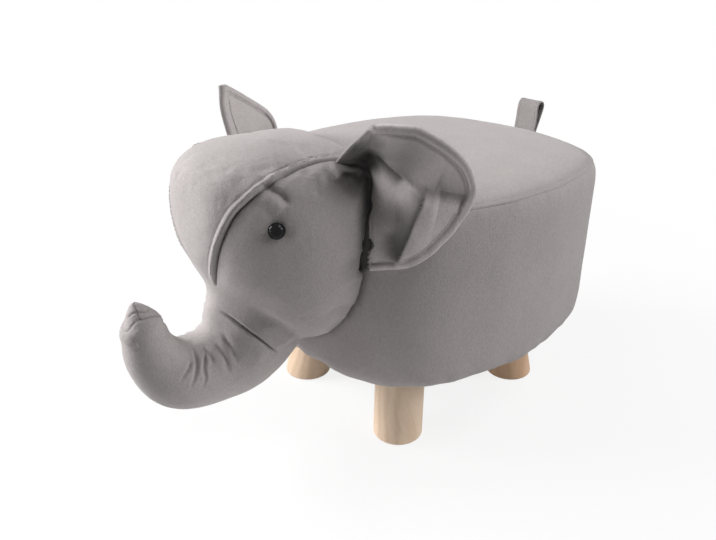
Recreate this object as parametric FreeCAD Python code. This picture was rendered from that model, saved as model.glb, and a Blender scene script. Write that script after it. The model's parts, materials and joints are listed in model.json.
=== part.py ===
import FreeCAD, Part
import math
import os
from FreeCAD import Vector

# Lengths are in mm. The floor is z = 0, the head points to -Y and the animal's left is +X.
# Places below are measured from the middle of the four feet. The finished parts move by frame_shift,
# which puts the middle of the whole stool's box at y = 0.
frame_shift = 68.5

# Padded body: plan half sizes at the rim seam, and heights
body_y = 9.7
seat_half_x = 158.8
seat_half_y = 171.7
plan_corner = 0.6
base_z = 88.6
rim_z = 263.3
crown_z = 277.5
side_profile = [(base_z, 0.988), (93, 1.008), (102, 1.021), (130, 1.027), (180, 1.028), (225, 1.030),
                (245, 1.030), (257, 1.020), (rim_z, 1.0)]
crown_profile = [(0.0, 1.0), (0.34, 0.955), (0.62, 0.86), (0.85, 0.66), (0.96, 0.40), (1.0, 0.10)]
hem_width = 26.0

# Cloth, foam and the gap that keeps layers from sharing a face
cloth = 1.2
gap = 0.25
hoop_inset = 10.5
hoop_wall = 3.0
dust_cloth = 0.6
dust_inset = 8.0

# Boards, posts and screws
base_board_z = 90.0
base_board_thick = 15.0
deck_board_z = 229.0
deck_board_thick = 12.0
post_side = 28.0
post_places = [(30, -124), (-30, -124), (116, 0), (-116, 0), (30, 124), (-30, 124)]
screw_radius = 2.0
screw_head_radius = 4.2
screw_head_depth = 3.0
screw_length = 45.0

# Staples round the hem
staple_count = 28
staple_crown = 10.0
staple_wire = 0.8
staple_leg = 8.0
staple_inset = 15.0

# Legs, splayed outward along the plan's diagonals
leg_radius = 26.0
leg_foot_x = 79.3
leg_foot_y = 92.7
leg_splay = 12.0
foot_round = 3.0
block_side = 44.0
block_height = 32.0
bolt_radius = 4.0
bolt_in_leg = 42.0
bolt_play = 0.05
nut_flange_radius = 11.0
nut_flange_thick = 1.6
nut_barrel_radius = 5.2
nut_barrel = 10.0

# Head: y, half width, widest height, rise to the top, drop to the bottom, top corner, low corner
head_sections = [(-269, 16, 270, 16, 20, 0.8, 0.8),
                 (-265, 36, 266, 33, 40, 0.7, 0.8),
                 (-253, 57, 261, 49, 66, 0.6, 0.75),
                 (-232, 74, 256, 60, 86, 0.5, 0.7),
                 (-200, 90, 250, 67, 114, 0.4, 0.7),
                 (-165, 97, 245, 70, 126, 0.3, 0.85),
                 (-132, 95, 245, 66, 114, 0.3, 0.95),
                 (-121, 88, 247, 58, 104, 0.35, 0.95),
                 (-117, 76, 250, 46, 92, 0.4, 0.95)]
head_back_y = -138.0
body_clearance = 0.3

# Forehead gusset, seen along a line that slopes up and forward: half width against height on the face
gusset_view = Vector(0, -0.8, 0.6)
gusset_up = Vector(0, 0.6, 0.8)
gusset_base = 270.0
gusset_foot = -1.0
gusset_middle = (43, 75)
gusset_shoulder = (69, 159)
gusset_end = 219.0

# Trunk: y, z and radius of each section, from inside the head to the tip
trunk_sections = [(-190, 178, 58.0), (-225, 127, 44.5), (-254, 115.5, 37.4), (-291, 119, 34.0),
                  (-312, 142, 27.0), (-321, 168, 18.6), (-325, 188, 11.0), (-326, 196, 5.0)]
trunk_steps = 2
tangent_step = 0.1
flex_y = -254.0
flex_z = 115.5
flex_radius = 42.0
flex_gap = 0.6
flex_lean = 10.0
tip_patch_z = 178.0

# Eyes
eye_y = -230.0
eye_z = 263.5
eye_radius = 7.2
eye_height = 5.0
eye_stem_radius = 2.2
eye_stem = 14.0
eye_sink = 0.4
washer_radius = 9.0
washer_thick = 1.5
washer_depth = 9.0

# Ears: z, then the root, middle and rim of each level's curved strip. The right ear, which lies
# further back, is given as its mirror image
left_ear_levels = [(214, (104, -153), (109, -151), (115, -147)),
                   (222, (104, -153), (116, -147), (127, -135)),
                   (240, (103, -152.5), (129, -139), (148, -113)),
                   (262, (101, -151), (133, -134), (156, -94)),
                   (280, (99, -148), (126, -128), (158, -83)),
                   (300, (89, -143), (117, -120), (160, -90)),
                   (316, (84, -151), (121, -126), (164, -105)),
                   (332, (96, -159), (128, -141), (158, -122)),
                   (343, (112, -162), (121, -156), (131, -149))]
right_ear_levels = [(214, (104, -153), (109, -151), (115, -147)),
                    (222, (104, -153), (116, -147), (128, -134)),
                    (240, (103, -152.5), (129, -138), (150, -106)),
                    (262, (101, -151), (131, -131), (154, -87)),
                    (280, (99, -148), (124, -123), (144.5, -77)),
                    (300, (91, -147), (115, -119), (136.5, -90)),
                    (316, (93, -160), (109, -137), (129, -110)),
                    (332, (107, -167.5), (113.5, -152), (123, -136)),
                    (343, (113.5, -163.5), (116, -159.5), (118.8, -155.4))]
ear_pad = 3.0
ear_gap = 0.2

# Tail loop, folded from a flat strap, and its hinge line at the rim seam
tail_y = 187.5
tail_z = 267.0
tail_width = 30.0
tail_height = 34.0
tail_depth = 13.0
tail_root = 5.2
tail_strap = 2.2
tail_seam = 6.6
tail_lean = 15.0

x_axis = Vector(1, 0, 0)
y_axis = Vector(0, 1, 0)
z_axis = Vector(0, 0, 1)
arc_spread = math.radians(20)
level_step = 2.0
tiny = 0.01
past = 20.0
leg_blank = 200.0
far = 600.0


# Sections and lofts

def quarter(half_width, height, corner):
    """Points of a quarter oval: a side arc, a corner arc and half a top arc, all tangent."""
    radius = corner * min(half_width, height)
    c = math.cos(arc_spread)
    s = math.sin(arc_spread)
    first = (height - radius) * s - (half_width - radius) * c
    second = (height - radius) * c - (half_width - radius) * s
    scale = s * s - (1 - c) ** 2
    side_shift = (first * (1 - c) + second * s) / scale
    top_shift = ((c - 1) * second - s * first) / scale
    side_radius = half_width + side_shift
    top_radius = height + top_shift
    middle = arc_spread / 2
    corner_x = (side_radius - radius) * c - side_shift
    corner_y = (side_radius - radius) * s
    diagonal = radius * math.sqrt(0.5)
    return {"side_middle": (side_radius * math.cos(middle) - side_shift, side_radius * math.sin(middle)),
            "side_end": (side_radius * c - side_shift, side_radius * s),
            "corner": (corner_x + diagonal, corner_y + diagonal),
            "top_end": (top_radius * s, top_radius * c - top_shift)}


def swell(centre, across, up, half_width, rise, drop, top_corner, low_corner):
    """Closed wire of ten arcs, with its widest line through the centre."""
    high = quarter(half_width, rise, top_corner)
    low = quarter(half_width, drop, low_corner)

    def at(x, y):
        return centre + across * x + up * y

    def arc(a, b, c):
        return Part.Arc(at(*a), at(*b), at(*c)).toShape()

    edges = []
    for side, half, rows in ((1, 1, high), (-1, 1, high), (-1, -1, low), (1, -1, low)):
        points = {name: (side * p[0], half * p[1]) for name, p in rows.items()}
        run = [((side * half_width, 0), points["side_middle"], points["side_end"]),
               (points["side_end"], points["corner"], points["top_end"])]
        if side * half > 0:
            edges.extend(arc(*step) for step in run)
            peak = (0, rise) if half > 0 else (0, -drop)
            end = points["top_end"]
            edges.append(arc(end, peak, (-end[0], end[1])))
        else:
            edges.extend(arc(*reversed(step)) for step in reversed(run))
    return Part.Wire(edges)


def plan_oval(half_x, half_y, z):
    return swell(Vector(0, body_y, z), x_axis, y_axis, half_x, half_y, half_y, plan_corner, plan_corner)


def oval_plate(half_x, half_y, z, thick):
    return Part.Face(plan_oval(half_x, half_y, z)).extrude(Vector(0, 0, thick))


def side_scale(z):
    for (low, a), (high, b) in zip(side_profile, side_profile[1:]):
        if z <= high:
            return a + (b - a) * (z - low) / (high - low)
    return side_profile[-1][1]


def side_solid(inset, low, high):
    """The padded side between two heights, every section drawn in by the inset."""
    levels = [low] + [z for z, scale in side_profile if low + level_step < z < high - level_step] + [high]
    wires = []
    for z in levels:
        scale = side_scale(z)
        wires.append(plan_oval(seat_half_x * scale - inset, seat_half_y * scale - inset, z))
    return Part.makeLoft(wires, True)


def crown_solid(inset, low, peak):
    """The crowned seat top above the given height."""
    wires = []
    for share, scale in crown_profile:
        z = low + share * (peak - low)
        wires.append(plan_oval((seat_half_x - inset) * scale, (seat_half_y - inset) * scale, z))
    return Part.makeLoft(wires, True)


def cylinder(start, direction, length, radius):
    return Part.makeCylinder(radius, length, start, direction)


def mirrored(shape):
    return shape.mirror(Vector(0, 0, 0), x_axis)


# Body

def make_covers():
    outer = side_solid(0, base_z, rim_z)
    inner = side_solid(cloth, base_z + cloth, rim_z)
    hem_x = seat_half_x * side_scale(base_z) - hem_width
    hem_y = seat_half_y * side_scale(base_z) - hem_width
    side = outer.cut(inner).cut(oval_plate(hem_x, hem_y, base_z - past, 2 * past))
    seat = crown_solid(0, rim_z + gap, crown_z).cut(crown_solid(cloth, rim_z, crown_z - cloth))
    return {"side_cover": side, "seat_cover": seat}


def make_padding():
    hoop_x = seat_half_x * side_scale(base_z) - hoop_inset
    hoop_y = seat_half_y * side_scale(base_z) - hoop_inset
    deck_top = deck_board_z + deck_board_thick
    height = deck_top - base_board_z
    hoop = oval_plate(hoop_x, hoop_y, base_board_z, height)
    low = base_board_z - past
    tall = height + 2 * past
    hoop = hoop.cut(oval_plate(hoop_x - hoop_wall, hoop_y - hoop_wall, low, tall))
    side = side_solid(cloth + gap, base_board_z, deck_top - gap)
    side = side.cut(oval_plate(hoop_x + gap, hoop_y + gap, low, tall))
    seat = side_solid(cloth + gap, deck_top, rim_z - gap)
    seat = seat.fuse(crown_solid(cloth + gap, rim_z - gap, crown_z - cloth - gap)).removeSplitter()
    return {"side_hoop": hoop, "side_foam": side, "seat_foam": seat}


def make_screws():
    """Countersunk wood screws, down through the deck and up through the base, one in each post end."""
    deck = []
    base = []
    for x, y in post_places:
        for group, z, way in ((deck, deck_board_z + deck_board_thick, -1), (base, base_board_z, 1)):
            start = Vector(x, body_y + y, z)
            along = Vector(0, 0, way)
            head = Part.makeCone(screw_head_radius, screw_radius, screw_head_depth, start, along)
            group.append(head.fuse(cylinder(start, along, screw_length, screw_radius)).removeSplitter())
    return Part.makeCompound(deck), Part.makeCompound(base)


def make_frame(deck_screws, base_screws):
    half_x = seat_half_x * side_scale(base_z) - hoop_inset - hoop_wall - gap
    half_y = seat_half_y * side_scale(base_z) - hoop_inset - hoop_wall - gap
    parts = {"base_board": oval_plate(half_x, half_y, base_board_z, base_board_thick).cut(base_screws),
             "deck_board": oval_plate(half_x, half_y, deck_board_z, deck_board_thick).cut(deck_screws)}
    low = base_board_z + base_board_thick
    for number, (x, y) in enumerate(post_places, 1):
        corner = Vector(x - post_side / 2, body_y + y - post_side / 2, low)
        post = Part.makeBox(post_side, post_side, deck_board_z - low, corner)
        parts["frame_post_%d" % number] = post.cut(deck_screws).cut(base_screws)
    return parts


def make_staples():
    half_x = seat_half_x * side_scale(base_z) - staple_inset
    half_y = seat_half_y * side_scale(base_z) - staple_inset
    under = base_z - dust_cloth
    staples = []
    for number in range(staple_count):
        turn = 2 * math.pi * (number + 0.5) / staple_count
        place = Vector(half_x * math.cos(turn), body_y + half_y * math.sin(turn), under - staple_wire)
        crown = Part.makeBox(staple_crown, staple_wire, staple_wire,
                             Vector(-staple_crown / 2, -staple_wire / 2, 0))
        staple = crown
        for x in (-staple_crown / 2, staple_crown / 2 - staple_wire):
            corner = Vector(x, -staple_wire / 2, 0)
            staple = staple.fuse(Part.makeBox(staple_wire, staple_wire, staple_leg, corner))
        staple = staple.removeSplitter()
        staple.rotate(Vector(0, 0, 0), z_axis, math.degrees(turn) + 90)
        staple.translate(place)
        staples.append(staple)
    return Part.makeCompound(staples)


# Legs

def leg_axis(side, end):
    """Foot centre on the floor and the direction up the leg."""
    outward = Vector(side * leg_foot_x, end * leg_foot_y, 0).normalize()
    lean = math.radians(leg_splay)
    up = z_axis * math.cos(lean) - outward * math.sin(lean)
    return Vector(side * leg_foot_x, end * leg_foot_y, 0), up


def along_leg(foot, up, z):
    return foot + up * (z / up.z)


def make_leg(foot, up):
    blank = cylinder(foot - up * past, up, leg_blank, leg_radius)
    room = Part.makeBox(far, far, base_board_z, Vector(-far / 2, -far / 2, 0))
    leg = blank.common(room)
    rim = [edge for edge in leg.Edges if edge.BoundBox.ZMax < tiny]
    leg = leg.makeFillet(foot_round, rim)
    bore_start = along_leg(foot, up, base_board_z) - up * bolt_in_leg
    return leg.cut(cylinder(bore_start, up, bolt_in_leg + past, bolt_radius + bolt_play))


def make_leg_block(foot, up):
    """A wedge on the base board, its top square to the leg, bored for the bolt and the nut's barrel."""
    floor = base_board_z + base_board_thick
    centre = along_leg(foot, up, floor)
    corner = Vector(-block_side / 2, -block_side / 2, -past)
    block = Part.makeBox(block_side, block_side, block_height + past, corner)
    block.Placement = FreeCAD.Placement(centre, FreeCAD.Rotation(z_axis, up))
    room = Part.makeBox(far, far, far, Vector(-far / 2, -far / 2, floor))
    block = block.common(room)
    top = centre + up * block_height
    block = block.cut(cylinder(centre - up * past, up, block_height + 2 * past, bolt_radius + bolt_play))
    return block.cut(cylinder(top - up * nut_barrel, up, past, nut_barrel_radius + bolt_play))


def make_tee_nut(foot, up):
    top = along_leg(foot, up, base_board_z + base_board_thick) + up * block_height
    nut = cylinder(top, up, nut_flange_thick, nut_flange_radius)
    nut = nut.fuse(cylinder(top - up * nut_barrel, up, nut_barrel, nut_barrel_radius)).removeSplitter()
    return nut.cut(cylinder(top - up * past, up, 2 * past, bolt_radius + bolt_play))


def make_hanger_bolt(foot, up):
    start = along_leg(foot, up, base_board_z) - up * bolt_in_leg
    end = along_leg(foot, up, base_board_z + base_board_thick) + up * (block_height + nut_flange_thick)
    return cylinder(start, up, (end - start).Length, bolt_radius)


def make_undercarriage():
    legs = {}
    blocks = {}
    bolts = []
    nuts = []
    holes = []
    for end, row in ((-1, "front"), (1, "rear")):
        for side, hand in ((1, "left"), (-1, "right")):
            foot, up = leg_axis(side, end)
            name = "%s_%s_leg" % (row, hand)
            legs[name] = make_leg(foot, up)
            blocks[name + "_block"] = make_leg_block(foot, up)
            bolts.append(make_hanger_bolt(foot, up))
            nuts.append(make_tee_nut(foot, up))
            holes.append(cylinder(foot, up, leg_blank, leg_radius + gap))
    half_x = seat_half_x * side_scale(base_z) - dust_inset
    half_y = seat_half_y * side_scale(base_z) - dust_inset
    dust = oval_plate(half_x, half_y, base_z - dust_cloth, dust_cloth)
    for hole in holes:
        dust = dust.cut(hole)
    parts = dict(legs)
    parts.update(blocks)
    parts["hanger_bolts"] = Part.makeCompound(bolts)
    parts["tee_nuts"] = Part.makeCompound(nuts)
    parts["dust_cover"] = dust
    return parts


# Head and trunk

def head_solid(inset):
    wires = []
    for number, (y, half, z, rise, drop, top, low) in enumerate(head_sections):
        if number == 0:
            y = y + inset
        if number == len(head_sections) - 1:
            y = y - inset
        centre = Vector(0, y, z)
        wires.append(swell(centre, x_axis, z_axis, half - inset, rise - inset, drop - inset, top, low))
    return Part.makeLoft(wires, True)


def trunk_point(place):
    """y, z and radius at a place along the trunk, on a smooth curve through its sections."""
    last = len(trunk_sections) - 1
    first = min(int(place), last - 1)
    t = place - first
    a, b, c, d = [trunk_sections[min(max(first + k, 0), last)] for k in (-1, 0, 1, 2)]
    point = []
    for p, q, r, s in zip(a, b, c, d):
        bend = (2 * p - 5 * q + 4 * r - s) * t ** 2
        twist = (3 * q - p - 3 * r + s) * t ** 3
        point.append((2 * q + (r - p) * t + bend + twist) / 2)
    return point


def trunk_solid(inset):
    wires = []
    last = len(trunk_sections) - 1
    for number in range(trunk_steps * last + 1):
        place = number / trunk_steps
        y, z, radius = trunk_point(place)
        before = trunk_point(max(place - tangent_step, 0))
        after = trunk_point(min(place + tangent_step, last))
        along = Vector(0, after[0] - before[0], after[1] - before[1]).normalize()
        centre = Vector(0, y, z)
        if place == last:
            centre = centre - along * inset
        size = radius - inset
        wires.append(swell(centre, x_axis, along.cross(x_axis), size, size, size, 1, 1))
    return Part.makeLoft(wires, True)


def flex_cutters():
    """The space in front of the flex line, outside a round hinge a little thicker than the trunk.

    The first cutter leaves the hinge on the head's side; the second leaves the gap as well.
    """
    start = Vector(-far / 2, flex_y, flex_z)
    front = Part.makeBox(far, far, far, Vector(-far / 2, flex_y - far, flex_z - far / 2))
    front.rotate(start, x_axis, flex_lean)
    held = front.cut(cylinder(start, x_axis, far, flex_radius))
    free = front.cut(cylinder(start, x_axis, far, flex_radius + flex_gap))
    return held, free


def gusset_prism():
    def at(x, height):
        return x_axis * x + gusset_up * height + gusset_view * gusset_base

    edges = []
    for side in (1, -1):
        foot = at(0, gusset_foot)
        shoulder = at(side * gusset_shoulder[0], gusset_shoulder[1])
        end = at(side * gusset_shoulder[0], gusset_end)
        side_edges = [Part.Arc(foot, at(side * gusset_middle[0], gusset_middle[1]), shoulder).toShape(),
                      Part.LineSegment(shoulder, end).toShape()]
        edges.extend(side_edges if side > 0 else reversed(side_edges))
        if side > 0:
            edges.append(Part.LineSegment(end, at(-gusset_shoulder[0], gusset_end)).toShape())
    return Part.Face(Part.Wire(edges)).extrude(gusset_view * far)


def half_space(side):
    return Part.makeBox(far, 2 * far, 2 * far, Vector(0 if side > 0 else -far, -far, -far))


def behind(y):
    return Part.makeBox(2 * far, far, 2 * far, Vector(-far, y, -far))


def eye_frame(head):
    """Where a line across the head at the eye's height leaves it, and the outward normal there."""
    def reach(y, z):
        line = Part.LineSegment(Vector(0, y, z), Vector(far, y, z)).toShape()
        return head.common(line).BoundBox.XMax

    step = 2.0
    x = reach(eye_y, eye_z)
    slope_y = (reach(eye_y + step, eye_z) - reach(eye_y - step, eye_z)) / (2 * step)
    slope_z = (reach(eye_y, eye_z + step) - reach(eye_y, eye_z - step)) / (2 * step)
    return Vector(x, eye_y, eye_z), Vector(1, -slope_y, -slope_z).normalize()


def make_eye(place, out):
    """A domed button: a slice of a ball on a stem, and the washer that locks it inside the cloth."""
    ball_radius = (eye_radius ** 2 + eye_height ** 2) / (2 * eye_height)
    seat = place + out * eye_sink
    ball = Part.makeSphere(ball_radius, seat - out * (ball_radius - eye_height))
    dome = ball.common(cylinder(seat, out, past, past))
    stem = cylinder(seat - out * eye_stem, out, eye_stem + eye_height / 2, eye_stem_radius)
    washer = cylinder(seat - out * washer_depth, out, washer_thick, washer_radius)
    hole = cylinder(seat - out * past, out, 2 * past, eye_stem_radius + bolt_play)
    return dome.fuse(stem).removeSplitter(), washer.cut(hole)


def make_head(body):
    trunks = [trunk_solid(inset) for inset in (0, cloth, cloth + gap)]
    heads = [head_solid(inset).cut(body) for inset in (0, cloth, cloth + gap)]
    held, free = flex_cutters()
    whole = [head.fuse(trunk.cut(held).cut(body)) for head, trunk in zip(heads, trunks)]
    shell = whole[0].cut(whole[1])
    stuffing = whole[2]
    back_room = behind(head_back_y)
    gusset = gusset_prism()
    parts = {"head_back_panel": shell.common(back_room)}
    parts["forehead_panel"] = shell.cut(back_room).common(gusset)
    left_face = whole[0].common(half_space(1)).cut(whole[1]).cut(back_room).cut(gusset)
    place, out = eye_frame(heads[0])
    eye, washer = make_eye(place, out)
    stem_hole = cylinder(place - out * past, out, 2 * past, eye_stem_radius + bolt_play)
    socket = cylinder(place - out * (eye_stem + gap), out, eye_stem + past, eye_stem_radius + bolt_play)
    pocket = cylinder(place - out * (washer_depth + gap), out, washer_thick + 3 * gap, washer_radius + gap)
    left_face = left_face.cut(stem_hole)
    for cutter in (socket, pocket):
        stuffing = stuffing.cut(cutter).cut(mirrored(cutter))
    parts["head_stuffing"] = stuffing
    skin = trunks[0].common(free).cut(trunks[1])
    patch_room = Part.makeBox(far, far, far, Vector(-far / 2, flex_y - far, tip_patch_z))
    parts["trunk_end_panel"] = skin.common(patch_room)
    left_trunk = skin.cut(patch_room).common(half_space(1))
    parts["trunk_stuffing"] = trunks[2].common(free)
    for name, piece in (("face_panel", left_face), ("trunk_panel", left_trunk), ("eye", eye),
                        ("eye_washer", washer)):
        parts["left_" + name] = piece
        parts["right_" + name] = mirrored(piece)
    return parts


# Ears and tail

def ear_strip(level, low, high):
    """One level of an ear: a curved strip between two offsets from its middle line, front positive."""
    z, root, middle, rim = level
    along = Vector(rim[0] - root[0], rim[1] - root[1], 0).normalize()
    front = Vector(along.y, -along.x, 0)
    lines = []
    for offset in (low, high):
        lines.append([Vector(p[0], p[1], z) + front * offset for p in (root, middle, rim)])
    a, b = lines
    return Part.Wire([Part.Arc(*a).toShape(), Part.LineSegment(a[2], b[2]).toShape(),
                      Part.Arc(b[2], b[1], b[0]).toShape(), Part.LineSegment(b[0], a[0]).toShape()])


def make_ears():
    pad = ear_pad / 2
    layers = (("ear_pad", -pad, pad), ("ear_lining", pad + ear_gap, pad + ear_gap + cloth),
              ("ear_back", -pad - ear_gap - cloth, -pad - ear_gap))
    parts = {}
    for name, low, high in layers:
        left, right = [Part.makeLoft([ear_strip(level, low, high) for level in levels], True)
                       for levels in (left_ear_levels, right_ear_levels)]
        parts["left_" + name] = left
        parts["right_" + name] = mirrored(right)
    return parts


def tail_outline(inset):
    """A teardrop in the plane of the fold: a narrow root, straight sides and a round top."""
    half = tail_depth / 2 - inset
    root = tail_root / 2 - inset
    low = tail_z + tail_seam * inset / tail_strap
    shoulder = tail_z + tail_height - tail_depth / 2
    slant = math.sqrt(0.5) * half

    def at(y, z):
        return Vector(-tail_width / 2, tail_y + y, z)

    edges = [Part.LineSegment(at(-root, low), at(root, low)).toShape(),
             Part.LineSegment(at(root, low), at(half, shoulder)).toShape(),
             Part.Arc(at(half, shoulder), at(slant, shoulder + slant), at(0, shoulder + half)).toShape(),
             Part.Arc(at(0, shoulder + half), at(-slant, shoulder + slant), at(-half, shoulder)).toShape(),
             Part.LineSegment(at(-half, shoulder), at(-root, low)).toShape()]
    return Part.Face(Part.Wire(edges)).extrude(x_axis * tail_width)


def make_tail():
    loop = tail_outline(0).cut(tail_outline(tail_strap))
    loop.rotate(Vector(0, tail_y, tail_z), x_axis, -tail_lean)
    return {"tail_loop": loop}


def body_envelope():
    """The whole padded body, grown a little, to trim the head against."""
    side = side_solid(-body_clearance, base_z - body_clearance, rim_z)
    return side.fuse(crown_solid(-body_clearance, rim_z, crown_z + body_clearance))


def make_parts():
    deck_screws, base_screws = make_screws()
    parts = {"deck_screws": deck_screws, "base_screws": base_screws}
    parts.update(make_covers())
    parts.update(make_padding())
    parts.update(make_frame(deck_screws, base_screws))
    parts.update(make_undercarriage())
    parts["cover_staples"] = make_staples()
    for end in (-1, 1):
        for side in (1, -1):
            foot, up = leg_axis(side, end)
            hole = cylinder(foot, up, leg_blank, bolt_radius + bolt_play)
            parts["base_board"] = parts["base_board"].cut(hole)
    parts.update(make_head(body_envelope()))
    parts.update(make_ears())
    parts.update(make_tail())
    return parts


def main():
    os.makedirs("parts", exist_ok=True)
    for name, shape in make_parts().items():
        shape.translate(Vector(0, frame_shift, 0))
        box = shape.optimalBoundingBox(False, False)
        print("%-22s solids %d valid %s volume %10.1f  x %.1f %.1f  y %.1f %.1f  z %.1f %.1f"
              % (name, len(shape.Solids), shape.isValid(), shape.Volume, box.XMin, box.XMax,
                 box.YMin, box.YMax, box.ZMin, box.ZMax))
        shape.exportStep("parts/%s.step" % name)


main()
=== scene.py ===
import json
import math
import bpy
import numpy as np
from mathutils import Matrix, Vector, noise
from mathutils.bvhtree import BVHTree
from mathutils.kdtree import KDTree

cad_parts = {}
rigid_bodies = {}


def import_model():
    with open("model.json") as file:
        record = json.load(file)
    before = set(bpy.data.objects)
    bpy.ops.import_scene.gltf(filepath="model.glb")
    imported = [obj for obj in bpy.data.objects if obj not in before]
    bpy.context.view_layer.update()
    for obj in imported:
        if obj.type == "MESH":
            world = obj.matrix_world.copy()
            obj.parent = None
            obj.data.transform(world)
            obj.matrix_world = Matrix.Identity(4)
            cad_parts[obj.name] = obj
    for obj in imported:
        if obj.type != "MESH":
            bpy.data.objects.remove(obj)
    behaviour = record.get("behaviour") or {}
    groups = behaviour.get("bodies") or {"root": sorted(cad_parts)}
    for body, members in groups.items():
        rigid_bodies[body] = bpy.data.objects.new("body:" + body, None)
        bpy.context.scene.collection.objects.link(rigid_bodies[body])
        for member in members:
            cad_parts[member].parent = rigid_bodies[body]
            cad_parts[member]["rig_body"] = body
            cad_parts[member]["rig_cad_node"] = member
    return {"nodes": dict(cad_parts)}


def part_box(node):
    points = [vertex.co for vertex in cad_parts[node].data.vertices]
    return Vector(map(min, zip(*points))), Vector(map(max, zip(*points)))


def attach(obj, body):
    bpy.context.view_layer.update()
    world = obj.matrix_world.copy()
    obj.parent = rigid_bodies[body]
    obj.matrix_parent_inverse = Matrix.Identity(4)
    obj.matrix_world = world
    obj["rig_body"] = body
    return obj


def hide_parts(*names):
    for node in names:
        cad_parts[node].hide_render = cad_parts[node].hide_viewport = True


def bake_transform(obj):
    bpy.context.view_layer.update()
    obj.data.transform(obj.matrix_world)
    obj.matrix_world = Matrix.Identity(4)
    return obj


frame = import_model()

scene = bpy.context.scene
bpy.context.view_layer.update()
nodes = frame["nodes"]
print("frame loaded:", len(nodes), "nodes")


def metres(values):
    # from millimetres, which the lists of points are in
    return np.round(np.array(values, float) / 1000, 7)


def columns(*parts):
    return np.stack(parts, axis=1)


def lengths(rows):
    return np.linalg.norm(rows, axis=1)


def unit(rows):
    return rows / (lengths(rows) + 1e-12)[:, None]


def distances(line):
    # the way along a line to each of its points
    return np.r_[0, np.cumsum(lengths(np.diff(line, axis=0)))]


def rowsAt(path, share):
    # the columns of a path, read at shares of its rows
    row = share * (len(path) - 1)
    return [np.interp(row, range(len(path)), column) for column in path.T]


def easeStep(x, low, high):
    t = np.clip((x - low) / (high - low), 0, 1)
    return t * t * (3 - 2 * t)


def hump(x, width):
    return np.exp(-(x / width) ** 2)


def mirrorX(points):
    return np.array(points, float) * (-1, 1, 1)


def cloudNoise(points, size, seed):
    # smooth noise from -1 to 1 with waves of about that size
    scale = 1 / size
    shift = Vector((seed * 7.3, seed * 3.1, seed * 5.7))
    return np.array([noise.noise(Vector(p) * scale + shift) for p in points])


def ripples(points, *waves):
    # slack in cloth, as waves of a size, a seed and a height
    return sum(cloudNoise(points, size, seed) * height for size, seed, height in waves)


def smoothLine(points, step=0.001, closed=False):
    # an even line through the points
    p = np.array(points, float)
    before, after = (p[-1:], p[:2]) if closed else (2 * p[:1] - p[1:2], 2 * p[-1:] - p[-2:-1])
    q = np.vstack([before, p, after])
    t = np.linspace(0, 1, 24, endpoint=False)[:, None]
    runs = [0.5 * (2 * b + (c - a) * t + (2 * a - 5 * b + 4 * c - d) * t ** 2 + (3 * b - a - 3 * c + d) * t ** 3)
            for a, b, c, d in zip(q, q[1:], q[2:], q[3:])]
    line = np.vstack(runs + [p[:1] if closed else p[-1:]])
    way = distances(line)
    even = np.linspace(0, way[-1], max(2, int(way[-1] / step) + 1))
    return columns(*[np.interp(even, way, column) for column in line.T])


def selectOnly(*pieces):
    bpy.ops.object.select_all(action="DESELECT")
    for piece in pieces:
        piece.select_set(True)
    bpy.context.view_layer.objects.active = pieces[0]


def readVertices(piece, what):
    values = np.zeros(len(piece.data.vertices) * 3)
    piece.data.vertices.foreach_get(what, values)
    return values.reshape(-1, 3)


def readPoints(piece):
    return readVertices(piece, "co")


def readNormals(piece):
    return readVertices(piece, "normal")


def writePoints(piece, points):
    piece.data.vertices.foreach_set("co", np.asarray(points, np.float32).ravel())
    piece.data.update()


def cleanMesh(piece, merge=0.00001):
    selectOnly(piece)
    bpy.ops.object.mode_set(mode="EDIT")
    bpy.ops.mesh.select_all(action="SELECT")
    bpy.ops.mesh.remove_doubles(threshold=merge)
    bpy.ops.mesh.normals_make_consistent(inside=False)
    bpy.ops.object.mode_set(mode="OBJECT")


def applyModifier(piece, kind, **settings):
    selectOnly(piece)
    modifier = piece.modifiers.new(kind.lower(), kind)
    for name, value in settings.items():
        setattr(modifier, name, value)
    bpy.ops.object.modifier_apply(modifier=modifier.name)


def shadeSmooth(piece):
    selectOnly(piece)
    bpy.ops.object.shade_smooth()


def gridPiece(name, across, along, place):
    # a flat grid, moved into its form by place(u, v) and sewn up where its edges meet
    bpy.ops.object.select_all(action="DESELECT")
    bpy.ops.mesh.primitive_grid_add(x_subdivisions=across, y_subdivisions=along, size=1)
    piece = bpy.context.object
    piece.name = name
    piece.data.name = name
    flat = readPoints(piece)
    writePoints(piece, place(flat[:, 0] + 0.5, flat[:, 1] + 0.5))
    cleanMesh(piece)
    shadeSmooth(piece)
    return piece


def surfaceOf(piece):
    points = [v.co.copy() for v in piece.data.vertices]
    return BVHTree.FromPolygons(points, [tuple(p.vertices) for p in piece.data.polygons])


def layOn(surface, line, lift=0.0):
    # moves a line onto a surface; gives points and normals
    found = [surface.find_nearest(Vector(p))[:2] for p in line]
    points = np.array([spot + normal * lift for spot, normal in found])
    return points, np.array([normal for spot, normal in found])


def lineOn(surface, points, step=0.001):
    return layOn(surface, smoothLine(points, step))[0]


def treeOf(points):
    tree = KDTree(len(points))
    for number, p in enumerate(points):
        tree.insert(p, number)
    tree.balance()
    return tree


def nearLine(points, normals, line, reach):
    # points within reach of a line: their numbers, signed distance across it and share along it
    near = np.where(np.all((points > line.min(0) - reach) & (points < line.max(0) + reach), axis=1))[0]
    tree = treeOf(line)
    tangent = unit(np.gradient(line, axis=0))
    found = np.array([tree.find(points[i])[1:] for i in near]).reshape(-1, 2)
    keep = found[:, 1] < reach
    ids = near[keep]
    index = found[keep, 0].astype(int)
    offset = points[ids] - line[index]
    side = np.cross(normals[ids], tangent[index])
    offset -= tangent[index] * (offset * tangent[index]).sum(1)[:, None]
    across = (offset * side).sum(1)
    return ids, np.sign(across) * lengths(offset), index / (len(line) - 1)


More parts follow.
